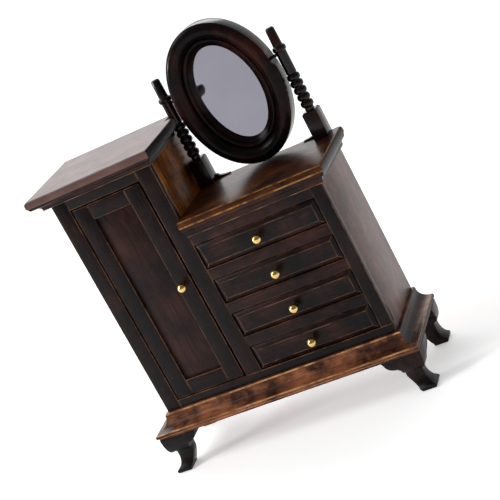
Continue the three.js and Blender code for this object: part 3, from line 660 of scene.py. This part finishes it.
def foot_outer_edge():
    """How far the foot stands out from the carcass corner, from the floor up, in metres."""
    bracket_reach = plinth_reach - 0.45 * MM
    ankle_height = FOOT_HEIGHT * 0.42
    knee_height = FOOT_HEIGHT * 0.57
    knee_reach = ANKLE + 1 * MM
    return [
        (foot_reach - 0.35 * MM, 0), (foot_reach, 0.4 * MM), (foot_reach, 1 * MM),
        *arc((foot_reach + 0.1 * MM, ankle_height),
             (ANKLE - foot_reach - 0.1 * MM, 1.1 * MM - ankle_height), 62, 0, 10),
        (ANKLE, knee_height - 0.7 * MM), (ANKLE + 0.3 * MM, knee_height - 0.2 * MM),
        *arc((knee_reach, FOOT_HEIGHT), (bracket_reach - knee_reach, knee_height - FOOT_HEIGHT), 90, 0, 10),
    ]


def foot_inner_edge(shank, toe):
    """The scrolled inner edge, from the top down past the shank to the inside of the toe."""
    crest = FOOT_HEIGHT - 0.9 * MM
    scroll_start = FOOT_LENGTH - plinth_reach - 0.5 * MM
    return [
        (FOOT_LENGTH - plinth_reach, FOOT_HEIGHT), (FOOT_LENGTH - plinth_reach - 0.4 * MM, crest),
        *arc((shank + 0.4 * MM, crest), (scroll_start - shank - 0.4 * MM, 2.7 * MM), 0, -80, 10),
        (shank + 0.35 * MM, FOOT_HEIGHT * 0.67), (shank + 0.05 * MM, FOOT_HEIGHT * 0.57),
        *[
            (shank + (toe - shank) * share, FOOT_HEIGHT * height)
            for share, height in ((0, 0.43), (0.15, 0.35), (0.36, 0.26), (0.64, 0.15))
        ],
        (toe, 0.4 * MM), (toe, 0),
    ]


def sawn(outline, axis, depth):
    """A standing outline pushed back along +y, or swung round to be pushed along +x."""
    blank = blank_bmesh()
    across = [(a, 0, h) if axis == "y" else (0, a, h) for a, h in outline]
    face = blank.faces.new([blank.verts.new(point) for point in across])
    push(blank, [face], (0, depth, 0) if axis == "y" else (depth, 0, 0))
    bmesh.ops.recalc_face_normals(blank, faces=blank.faces)
    return blank


def loose_object(bm, name):
    """A bmesh as a plain object that a modifier can use."""
    mesh = bpy.data.meshes.new(name)
    bm.to_mesh(mesh)
    bm.free()
    blank = bpy.data.objects.new(name, mesh)
    bpy.context.scene.collection.objects.link(blank)
    return blank


def common_part(first, second):
    """The shape that two objects share, as a bmesh; both objects are used up."""
    sharing = first.modifiers.new("common", "BOOLEAN")
    sharing.operation = "INTERSECT"
    sharing.solver = "EXACT"
    sharing.object = second
    shared = bmesh.new()
    shared.from_object(first, bpy.context.evaluated_depsgraph_get())
    if "rubbed" not in shared.loops.layers.float:
        shared.loops.layers.float.new("rubbed")
    for used in (first, second):
        bpy.data.objects.remove(used)
    return shared


for node in ("foot_front_left", "foot_front_right", "foot_back_left", "foot_back_right"):
    at_back = "back" in node
    outer = [(-reach, height) for reach, height in foot_outer_edge()]
    face_saw = sawn(outer + foot_inner_edge(*FRONT_SHANK_AND_TOE), "y", FOOT_LENGTH + plinth_reach)
    bmesh.ops.translate(face_saw, vec=(0, -plinth_reach - SAW_CLEARANCE, 0), verts=face_saw.verts)
    side_outer = [(0, 0), (0, FOOT_HEIGHT)] if at_back else outer
    side_inner = foot_inner_edge(*(BACK_SHANK_AND_TOE if at_back else SIDE_SHANK_AND_TOE))
    side_saw = sawn(side_outer + side_inner, "x", FOOT_LENGTH + plinth_reach)
    bmesh.ops.translate(side_saw, vec=(-plinth_reach - SAW_CLEARANCE, 0, 0), verts=side_saw.verts)
    foot = common_part(loose_object(face_saw, "face_saw"), loose_object(side_saw, "side_saw"))
    bmesh.ops.remove_doubles(foot, verts=foot.verts, dist=0.01 * MM)
    soften(foot, crisp_edges(foot, 50), FOOT_ARRIS)
    if at_back:
        bmesh.ops.scale(foot, vec=(1, -1, 1), verts=foot.verts)
    if "right" in node:
        bmesh.ops.scale(foot, vec=(-1, 1, 1), verts=foot.verts)
    corner_x = carcass_right if "right" in node else carcass_left
    bmesh.ops.translate(foot, vec=(corner_x, back_face if at_back else front_face, 0), verts=foot.verts)
    made_foot = make_piece(foot, node, "_ogee", stain("foot_walnut", "z"))
    print(node, len(made_foot.data.polygons), "faces")

# %% [markdown]
# Drawers
#
# Each drawer front is a thick board with a raised field: four bevels are planed round it, so
# that the middle stands proud. The box behind it is four thin pine boards, which meet at
# plain corners and are closed below by a bottom let in between them.

# %% Drawer fronts and boxes
BEVEL_WIDTH = 1.3 * MM
BEVEL_DROP = 0.9 * MM
DRAWER_WALL = 1.2 * MM
DRAWER_FLOOR = 0.8 * MM
FLOOR_ARRIS = 0.05
FIELD_ARRIS = 0.14


def standing_ring(low, high, inset, y):
    """A rectangle facing the front, drawn in by an inset, at depth y."""
    return [
        (low.x + inset, y, low.z + inset), (low.x + inset, y, high.z - inset),
        (high.x - inset, y, high.z - inset), (high.x - inset, y, low.z + inset),
    ]


for number in range(1, 5):
    front_node = f"drawer_{number}_front"
    low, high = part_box(front_node)
    bm = blank_bmesh()
    stack(bm, [
        standing_ring(low, high, 0, high.y),
        standing_ring(low, high, 0, low.y + BEVEL_DROP),
        standing_ring(low, high, BEVEL_WIDTH, low.y),
    ])
    soften(bm, [edge for edge in bm.edges if edge.is_manifold], FIELD_ARRIS)
    make_piece(bm, front_node, "_field", stain("drawer_walnut", "x"))
    box_node = f"drawer_{number}_box"
    low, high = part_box(box_node)
    left, right = low.x + DRAWER_WALL, high.x - DRAWER_WALL
    front, back = low.y + DRAWER_WALL, high.y - DRAWER_WALL
    bm = blank_bmesh()
    for x in (low.x, right):
        add_block(bm, Vector((x, low.y, low.z)), Vector((x + DRAWER_WALL, high.y, high.z)), PINE_ARRIS)
    for y in (low.y, back):
        add_block(bm, Vector((left, y, low.z)), Vector((right, y + DRAWER_WALL, high.z)), PINE_ARRIS)
    add_block(bm, Vector((left, front, low.z)), Vector((right, back, low.z + DRAWER_FLOOR)), FLOOR_ARRIS)
    make_piece(bm, box_node, "_boards", pine_finishes["y"])
print("drawers built")

# %% [markdown]
# Knobs and pins
#
# The knobs are turned from brass rod: a small collar against the wood, a waisted neck and a
# ball. Anything turned is an outline spun once round its axis, so that is how they are
# made here too, lying down to point out of the front. The hinge and pivot pins are plain
# wire with rounded ends.

# %% Turning helper and knobs
def spin_outline(bm, outline, segments, axis="z"):
    """Spins an outline of (radius, height) about an axis through the origin."""
    lay = {"z": lambda r, h: (r, 0, h), "y": lambda r, h: (r, -h, 0), "x": lambda r, h: (h, 0, r)}[axis]
    verts = [bm.verts.new(lay(radius, height)) for radius, height in outline]
    edges = [bm.edges.new(pair) for pair in zip(verts, verts[1:])]
    direction = {"z": (0, 0, 1), "y": (0, 1, 0), "x": (1, 0, 0)}[axis]
    bmesh.ops.spin(
        bm, geom=verts + edges, cent=(0, 0, 0), axis=direction, angle=2 * pi, steps=segments,
        use_merge=True,
    )
    bmesh.ops.remove_doubles(bm, verts=bm.verts, dist=0.002 * MM)


BALL_REACH = 1.55 * MM
KNOB_RADIUS = BALL_REACH - 0.005 * MM
NECK_RADIUS = 0.72 * MM
BALL_CENTRE = 1.4 * MM + BALL_REACH * 0.85


def knob_outline():
    """Shank, collar, waisted neck and ball, along the knob's axis."""
    start = degrees(asin(NECK_RADIUS / KNOB_RADIUS)) - 90
    ball = arc((0, BALL_CENTRE), (KNOB_RADIUS, KNOB_RADIUS), start, 90, 18)
    return [
        (0, -1.15 * MM), (0.45 * MM, -1.15 * MM), (0.45 * MM, 0.03 * MM), (0.74 * MM, 0.03 * MM),
        (0.8 * MM, 0.1 * MM), (0.8 * MM, 0.26 * MM), (0.76 * MM, 0.34 * MM), (0.7 * MM, 0.5 * MM),
        (0.66 * MM, 0.85 * MM), *ball[:-1], (0, ball[-1][1]),
    ]


for node in ("door_knob", "drawer_1_knob", "drawer_2_knob", "drawer_3_knob", "drawer_4_knob"):
    low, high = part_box(node)
    face_y = low.y + BALL_CENTRE + BALL_REACH
    bm = blank_bmesh()
    spin_outline(bm, knob_outline(), 40, "y")
    bmesh.ops.translate(bm, vec=((low.x + high.x) / 2, face_y, (low.z + high.z) / 2), verts=bm.verts)
    make_piece(bm, node, "_turned", brass)
print("knob balls are", round(2 * KNOB_RADIUS / MM, 2), "mm across")

# %% Hinge pins and mirror pivots
PIN_AXES = {
    "hinge_pin_lower": "z", "hinge_pin_upper": "z", "mirror_pivot_left": "x", "mirror_pivot_right": "x",
}
for node, axis in PIN_AXES.items():
    low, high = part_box(node)
    size = high - low
    half = (size.z if axis == "z" else size.x) / 2
    radius = (size.x if axis == "z" else size.z) / 2
    bm = blank_bmesh()
    spin_outline(bm, [
        (0, -half), (radius * 0.7, -half), (radius, -half + radius * 0.3),
        (radius, half - radius * 0.3), (radius * 0.7, half), (0, half),
    ], 24, axis)
    bmesh.ops.translate(bm, vec=(low + high) / 2, verts=bm.verts)
    make_piece(bm, node, "_wire", steel)
print(len(PIN_AXES), "pins turned, the last", round(2 * radius / MM, 2), "mm thick")

# %% [markdown]
# Turned mirror posts
#
# Each post begins as a square block, chamfered on top, and is then turned: a short neck, a
# run of five beads, a plain shaft that takes the mirror's pivot, a collar ring and a
# slightly tapered finial. The block is grown in layers and the turned part is spun. Small
# hollow-fronted brackets stiffen the angle between post and chest top.

# %% Posts
BLOCK_HEIGHT = 9 * MM
BLOCK_CHAMFER = 0.5 * MM
BLOCK_ARRIS = 0.12
BEAD_COUNT = 5
BEAD_PITCH = 2.25 * MM
BEAD_RADIUS = 2.05 * MM
NECK_HEIGHT = 0.9 * MM
SHAFT_RADIUS = 1.65 * MM
COLLAR_RADIUS = 2.15 * MM
COLLAR_HEIGHT = 1.7 * MM
FINIAL_RADIUS = 1.4 * MM
FINIAL_HEIGHT = 6.1 * MM


def post_outline(shaft_top):
    """The turned part above the block, from its foot to the finial's chamfered tip."""
    outline = [(0, -0.5 * MM), (BEAD_RADIUS * 0.7, -0.5 * MM), (BEAD_RADIUS * 0.7, NECK_HEIGHT)]
    height = NECK_HEIGHT
    roll = 0.75 * MM
    for _ in range(BEAD_COUNT):
        half = BEAD_PITCH / 2
        outline += arc((BEAD_RADIUS - roll, height + half), (roll, half * 0.94), -90, 90, 10)
        height += BEAD_PITCH
    outline += [(SHAFT_RADIUS - 0.05 * MM, height + 0.12 * MM), (SHAFT_RADIUS, height + 0.3 * MM)]
    outline += [(SHAFT_RADIUS, shaft_top)]
    half = COLLAR_HEIGHT / 2
    outline += arc((SHAFT_RADIUS, shaft_top + half), (COLLAR_RADIUS - SHAFT_RADIUS, half), -80, 80, 10)
    foot = shaft_top + COLLAR_HEIGHT
    outline += [(FINIAL_RADIUS + 0.14 * MM, foot + 0.1 * MM), (FINIAL_RADIUS + 0.1 * MM, foot + 0.4 * MM)]
    tip = foot + FINIAL_HEIGHT
    outline += [(FINIAL_RADIUS, tip - 0.6 * MM), (FINIAL_RADIUS - 0.12 * MM, tip - 0.35 * MM)]
    outline += [(FINIAL_RADIUS - 0.45 * MM, tip), (0, tip)]
    return outline


for node in ("mirror_post_left", "mirror_post_right"):
    low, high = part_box(node)
    block_top = low.z + BLOCK_HEIGHT
    bm = blank_bmesh()
    stack(bm, [
        [
            (low.x + inset, low.y + inset, z), (high.x - inset, low.y + inset, z),
            (high.x - inset, high.y - inset, z), (low.x + inset, high.y - inset, z),
        ]
        for inset, z in ((0, low.z), (0, block_top - BLOCK_CHAMFER), (BLOCK_CHAMFER, block_top))
    ])
    soften(bm, bm.edges[:], BLOCK_ARRIS)
    spindle = blank_bmesh()
    shaft_top = high.z - FINIAL_HEIGHT - COLLAR_HEIGHT - block_top
    spin_outline(spindle, post_outline(shaft_top), 48)
    middle = (low + high) / 2
    bmesh.ops.translate(spindle, vec=(middle.x, middle.y, block_top), verts=spindle.verts)
    spindle_mesh = bpy.data.meshes.new("spindle")
    spindle.to_mesh(spindle_mesh)
    spindle.free()
    bm.from_mesh(spindle_mesh)
    bpy.data.meshes.remove(spindle_mesh)
    make_piece(bm, node, "_turned", stain("turned_walnut", "z"))

print(BEAD_COUNT, "beads on each post")

# %% Brackets
BRACKET_ARRIS = 0.1
BRACKET_TOE = 0.5 * MM
BRACKET_WAIST = 0.4 * MM
for node, way in (("post_bracket_left", 1), ("post_bracket_right", -1)):
    low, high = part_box(node)
    length = high.x - low.x
    height = high.z - low.z
    hollow = arc((length, height), (BRACKET_TOE - length, BRACKET_WAIST - height), 0, 90, 12)
    outline = [(0, 0), (0, height), *hollow, (length, 0)]
    start = low.x if way > 0 else high.x
    bm = blank_bmesh()
    face = bm.faces.new([bm.verts.new((start + way * x, low.y, low.z + z)) for x, z in outline])
    push(bm, [face], (0, high.y - low.y, 0))
    soften(bm, crisp_edges(bm, 40), BRACKET_ARRIS)
    make_piece(bm, node, "_hollow", stain("moulding_walnut", "x"))
print("brackets are", round(length / MM, 1), "mm long")

# %% [markdown]
# The oval mirror
#
# The frame is a moulding bent round an oval: from the outside in, a thick rounded rim, a
# broad swelling band, a groove, a thin bead and a dark lip over the glass. Its section is
# spun into a plain ring first, and then every point is moved from the circle to the oval,
# keeping its distance outside the edge. The ring is built about its pivot line. It hangs
# plumb, but its long axis leans a little towards the cupboard, because the flats for its
# two pins were cut slightly out of square.

# %% Oval helpers
SIGHT_HALF_HEIGHT = 15.5 * MM
FRAME_WIDTH = 7.7 * MM
FRAME_THICKNESS = 7 * MM
FRAME_BEHIND = 2.4 * MM
GLASS_RECESS = 4.2 * MM
GLASS_LAP = 0.9 * MM
PIVOT_ABOVE_CENTRE = 4.3 * MM
OVAL_TURN = radians(5)
OVAL_STEPS = 192
POST_GAP = 1.2 * MM
post_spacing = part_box("mirror_post_right")[0].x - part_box("mirror_post_left")[0].x
oval_half_width = post_spacing / 2 - SHAFT_RADIUS - POST_GAP
sight_half_width = oval_half_width - FRAME_WIDTH
frame_front = FRAME_BEHIND - FRAME_THICKNESS
rebate = frame_front + GLASS_RECESS


def to_oval(bm):
    """Moves points from round the sight circle to the same distance round the oval."""
    for vert in bm.verts:
        angle = atan2(vert.co.z, vert.co.x)
        distance = hypot(vert.co.x, vert.co.z) - SIGHT_HALF_HEIGHT
        normal = Vector((cos(angle) / sight_half_width, sin(angle) / SIGHT_HALF_HEIGHT)).normalized()
        vert.co.x = sight_half_width * cos(angle) + normal.x * distance
        vert.co.z = SIGHT_HALF_HEIGHT * sin(angle) + normal.y * distance - PIVOT_ABOVE_CENTRE


def hang(bm):
    """Turns the oval a little, as the seats for its pins are cut, and moves it to its pivots."""
    bmesh.ops.rotate(bm, cent=(0, 0, 0), matrix=Matrix.Rotation(-OVAL_TURN, 3, "Y"), verts=bm.verts)
    bmesh.ops.translate(bm, vec=pivot, verts=bm.verts)


# %% Frame
RIM_ROUNDING = 2.3 * MM
RIM_DOME = 1.3 * MM
SEAT_DEPTH = 0.45 * MM
SEAT_HALF_LENGTH = 3.5 * MM
SEAT_LEAN = tan(radians(5))


def frame_section():
    """The frame's section as (distance outside the sight edge, depth), closed on itself."""
    crest = FRAME_WIDTH - RIM_ROUNDING
    inner = 2.9 * MM
    return [
        (GLASS_LAP, FRAME_BEHIND), (FRAME_WIDTH - 0.5 * MM, FRAME_BEHIND),
        (FRAME_WIDTH - 0.12 * MM, FRAME_BEHIND - 0.12 * MM), (FRAME_WIDTH, FRAME_BEHIND - 0.5 * MM),
        *arc((crest, frame_front + RIM_DOME), (RIM_ROUNDING, -RIM_DOME), 0, 90, 10),
        *arc((crest, rebate - 2 * MM), (inner - crest, frame_front - rebate + 2 * MM), 80, 0, 10),
        (inner, rebate - 1.7 * MM),
        *arc((2.15 * MM, rebate - 1.6 * MM), (0.75 * MM, -0.8 * MM), 10, 170, 8),
        (1.3 * MM, rebate - 1.25 * MM), (1.05 * MM, rebate - 1.0 * MM), (0, rebate - 0.35 * MM),
        (0, rebate), (GLASS_LAP, rebate),
    ]


bm = blank_bmesh()
section = [bm.verts.new((SIGHT_HALF_HEIGHT + distance, depth, 0)) for distance, depth in frame_section()]
loop = [bm.edges.new(pair) for pair in zip(section, section[1:] + section[:1])]
bmesh.ops.spin(
    bm, geom=section + loop, cent=(0, 0, 0), axis=(0, 1, 0), angle=2 * pi, steps=OVAL_STEPS, use_merge=True,
)
bmesh.ops.remove_doubles(bm, verts=bm.verts, dist=0.002 * MM)
to_oval(bm)
for vert in bm.verts:
    if abs(vert.co.z) < SEAT_HALF_LENGTH:
        seat = oval_half_width - SEAT_DEPTH - vert.co.z * SEAT_LEAN
        vert.co.x = max(-seat, min(seat, vert.co.x))
hang(bm)
oval_frame = make_piece(bm, "mirror_frame", "_oval", stain("frame_walnut", "z"))
print("oval frame has", len(oval_frame.data.polygons), "faces")


# %% Glass and backboard
def oval_plate(distance, front, back, edge_mm):
    """A flat oval plate that reaches a set distance outside the sight edge."""
    plate = blank_bmesh()
    circle = bmesh.ops.create_circle(
        plate, cap_ends=True, radius=SIGHT_HALF_HEIGHT + distance, segments=OVAL_STEPS,
        matrix=Matrix.Rotation(radians(90), 4, "X"),
    )
    bmesh.ops.translate(plate, vec=(0, front, 0), verts=circle["verts"])
    push(plate, plate.faces[:], (0, back - front, 0))
    soften(plate, crisp_edges(plate, 60), edge_mm, 1)
    to_oval(plate)
    hang(plate)
    return plate


GLASS_REACH = 0.75 * MM
GLASS_SEAT = rebate + 0.03 * MM
GLASS_THICKNESS = 1 * MM
BACKBOARD_REACH = 3.8 * MM
BACKBOARD_SEAT = FRAME_BEHIND + 0.3 * MM
BACKBOARD_THICKNESS = 0.8 * MM
glass = oval_plate(GLASS_REACH, GLASS_SEAT, GLASS_SEAT + GLASS_THICKNESS, 0.08)
make_piece(glass, "mirror_glass", "_plate", silvering)
backboard = oval_plate(BACKBOARD_REACH, BACKBOARD_SEAT, BACKBOARD_SEAT + BACKBOARD_THICKNESS, 0.25)
make_piece(backboard, "mirror_backboard", "_plate", pine_finishes["z"])
print("mirror hung at", [round(c / MM, 1) for c in pivot], "mm")

# %% [markdown]
# Floor, light and camera
#
# A pale floor that runs far behind the piece, and glows a little so that it stays white; a
# soft pale room, brightest low down at the back left; two large soft panels, one far behind
# and one high on the left; and a small lamp on the left that lights little but is mirrored in
# turned work and brass. Satin lacquer is seen mostly by what it mirrors: the tops and the
# right side catch the pale room at a glancing angle and turn grey, while the front stays dark.

# %% Floor
floor_bm = bmesh.new()
bmesh.ops.create_grid(floor_bm, x_segments=1, y_segments=1, size=12)
floor_mesh = bpy.data.meshes.new("floor")
floor_bm.to_mesh(floor_mesh)
floor_bm.free()
floor = bpy.data.objects.new("floor", floor_mesh)
bpy.context.scene.collection.objects.link(floor)
floor_material, floor_surface = new_material("matt_white_paper")
floor_surface.inputs["Base Color"].default_value = colour("#f8f8f8")
floor_surface.inputs["Roughness"].default_value = 0.9
floor_surface.inputs["Specular IOR Level"].default_value = 0.1
floor_surface.inputs["Emission Color"].default_value = colour("#ffffff")
floor_surface.inputs["Emission Strength"].default_value = 0.38
floor_mesh.materials.append(floor_material)
print("floor laid")

# %% Room light
WINDOW_WAY = (-0.5, 0.77, -0.4)
DIM_SIDE = 0.2
world = bpy.data.worlds.new("pale_room")
bpy.context.scene.world = world
world.use_nodes = True
way = add_node(world, "ShaderNodeTexCoord").outputs["Generated"]
towards_window = add_node(
    world, "ShaderNodeVectorMath", {"operation": "DOT_PRODUCT", 1: WINDOW_WAY}, {0: way},
).outputs["Value"]
brightness = remap(world, towards_window, -0.8, 0.8, DIM_SIDE, 1.0)
background = world.node_tree.nodes["Background"]
world.node_tree.links.new(brightness, background.inputs["Strength"])
background.inputs["Color"].default_value = colour("#ffffff")
print("the room is", round(1 / DIM_SIDE), "times brighter towards the window")


# %% Soft panels
def soft_panel(name, place, target, width, height, watts):
    """A large rectangular light at a place, turned towards a target."""
    light = bpy.data.lights.new(name, "AREA")
    light.shape = "RECTANGLE"
    light.size = width
    light.size_y = height
    light.energy = watts
    lamp = bpy.data.objects.new(name, light)
    lamp.location = place
    lamp.rotation_euler = (Vector(target) - Vector(place)).to_track_quat("-Z", "Y").to_euler()
    bpy.context.scene.collection.objects.link(lamp)
    return lamp


soft_panel("back_panel", (-2.9, 4.7, 3.1), (0, 0, 0.05), 6, 4, 190)
soft_panel("high_left_panel", (-0.8, -0.35, 0.9), (0, 0, 0.06), 0.5, 0.5, 5)
sparkle = soft_panel("sparkle_lamp", (-1.0, -0.42, 0.33), (0, 0, 0.06), 0.15, 0.15, 5)
sparkle.data.diffuse_factor = 0.1
print("two soft panels and a small lamp lit")

# %% [markdown]
# Camera
#
# The view is from a little above and to the right of the front, through a long lens, with
# the camera rolled so that the chest leans to the upper left of the picture.

# %% Camera
AZIMUTH = radians(23.37)
ELEVATION = radians(15.66)
ROLL = radians(28.23)
DISTANCE = 0.45825
LENS = 108.23
AIM_FROM_LEFT = 44.32 * MM
AIM_BEHIND_FRONT = 15 * MM
AIM_HEIGHT = 54.04 * MM
target = Vector((carcass_left + AIM_FROM_LEFT, front_face + AIM_BEHIND_FRONT, AIM_HEIGHT))
backward = Vector((sin(AZIMUTH) * cos(ELEVATION), -cos(AZIMUTH) * cos(ELEVATION), sin(ELEVATION)))
level_right = Vector((cos(AZIMUTH), sin(AZIMUTH), 0))
level_up = backward.cross(level_right)
right = level_right * cos(ROLL) - level_up * sin(ROLL)
up = level_right * sin(ROLL) + level_up * cos(ROLL)
camera = bpy.data.objects.new("camera", bpy.data.cameras.new("camera"))
camera.data.lens = LENS
camera.data.sensor_width = 36
camera.data.clip_start = 0.01
camera.data.clip_end = 100
placed = Matrix((right, up, backward)).transposed().to_4x4()
placed.translation = target + backward * DISTANCE
camera.matrix_world = placed
bpy.context.scene.collection.objects.link(camera)
bpy.context.scene.camera = camera
bpy.context.scene.view_settings.view_transform = "Standard"
print("camera at", [round(c, 3) for c in camera.location])
